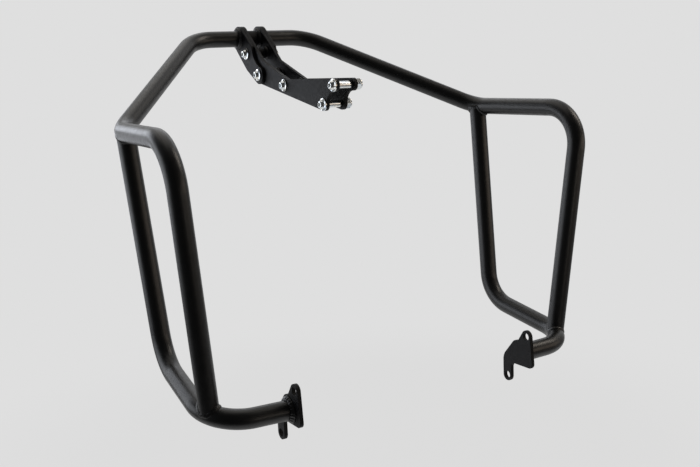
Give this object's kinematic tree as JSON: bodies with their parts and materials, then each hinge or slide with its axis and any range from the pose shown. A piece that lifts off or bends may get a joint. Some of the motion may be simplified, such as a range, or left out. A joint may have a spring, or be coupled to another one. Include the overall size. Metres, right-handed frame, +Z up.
{
  "type": "motorcycle crash bars",
  "caption": "Bent tube guard bars for both sides of a motorcycle, bolted to a long centre bracket, with drilled foot plates at the lower ends.",
  "frame": {"origin": "on the middle plane, midway between the axes of the two frame bolts", "axes": "+X to the rider's right along the cross tube, +Y forward, +Z up"},
  "size_m": [0.6374, 0.48, 0.5236],
  "materials": {
    "bar_coat": "satin black powder coat",
    "bracket_coat": "matt dark grey powder coat",
    "zinc": "bright zinc plate",
    "nylon": "plain nylon"
  },
  "bodies": {
    "root": {"left_upper_bar": "bar_coat", "left_lower_bar": "bar_coat", "left_foot_plate": "bar_coat", "left_joint_lug": "bar_coat", "left_lug_weld": "bar_coat", "left_leg_weld": "bar_coat", "left_shoulder_weld": "bar_coat", "left_foot_weld": "bar_coat", "left_bracket_plate": "bracket_coat", "right_upper_bar": "bar_coat", "right_lower_bar": "bar_coat", "right_foot_plate": "bar_coat", "right_joint_lug": "bar_coat", "right_lug_weld": "bar_coat", "right_leg_weld": "bar_coat", "right_shoulder_weld": "bar_coat", "right_foot_weld": "bar_coat", "right_bracket_plate": "bracket_coat", "centre_tube": "bracket_coat", "centre_tube_welds": "bracket_coat", "bolt_sleeves": "bracket_coat", "sleeve_welds": "bracket_coat", "joint_bolts": "zinc", "plate_bolts": "zinc", "washers": "zinc", "lock_nuts": "zinc", "nut_rings": "nylon"}
  },
  "joints": []
}
